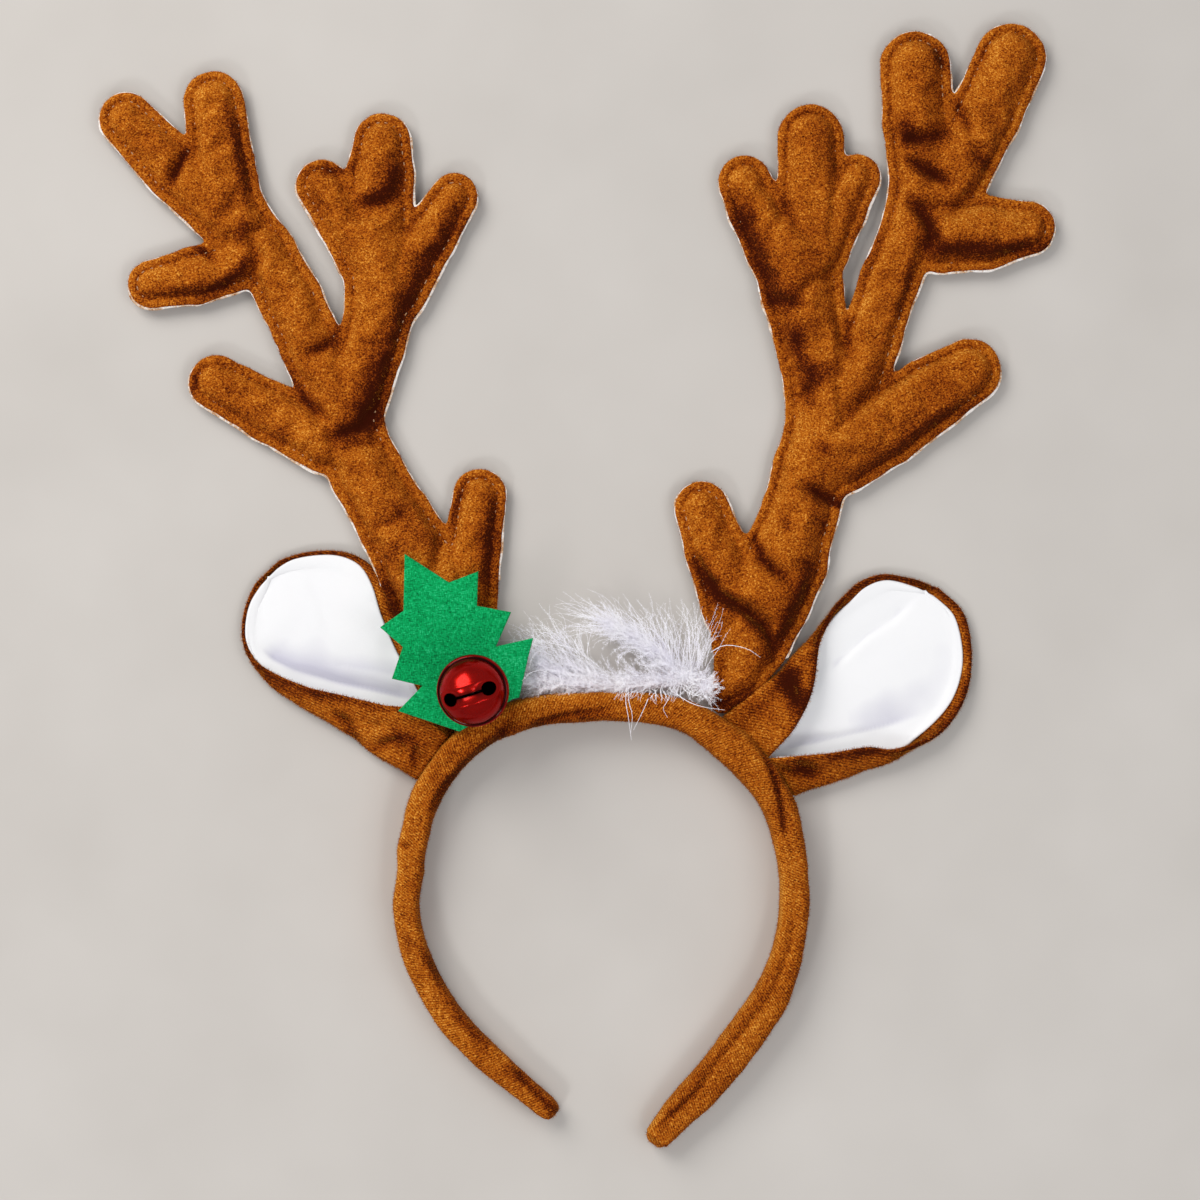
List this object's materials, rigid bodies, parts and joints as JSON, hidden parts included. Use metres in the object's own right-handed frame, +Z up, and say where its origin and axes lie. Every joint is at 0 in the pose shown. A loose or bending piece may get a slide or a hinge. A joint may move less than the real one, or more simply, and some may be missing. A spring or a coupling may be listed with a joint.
{
  "type": "reindeer antler headband",
  "caption": "Covered costume headband with two padded branching antlers, lined ears, a feather trim, a felt holly leaf and a round jingle bell, lying flat on its edge.",
  "frame": {"origin": "on the surface that the headband lies on, under the middle of its box", "axes": "+Y from the open end of the hoop over the crown to the antlers, +X to the right seen from above, +Z up from the surface"},
  "size_m": [0.3272, 0.3846, 0.0429],
  "materials": {
    "velvet": "short golden-brown pile with a soft sheen",
    "satin": "smooth white satin",
    "felt": "matt pressed felt",
    "bell_metal": "glossy red lacquer on pressed steel",
    "pellet_metal": "plain steel",
    "feather": "fluffy white down"
  },
  "bodies": {
    "root": {"band": "velvet", "antler_left": "velvet", "antler_right": "velvet", "ear_left": "velvet", "ear_right": "velvet", "ear_left_lining": "satin", "ear_right_lining": "satin", "holly_leaf": "felt", "bell": "bell_metal", "bell_pellet": "pellet_metal", "feather_trim": "feather"}
  },
  "joints": []
}
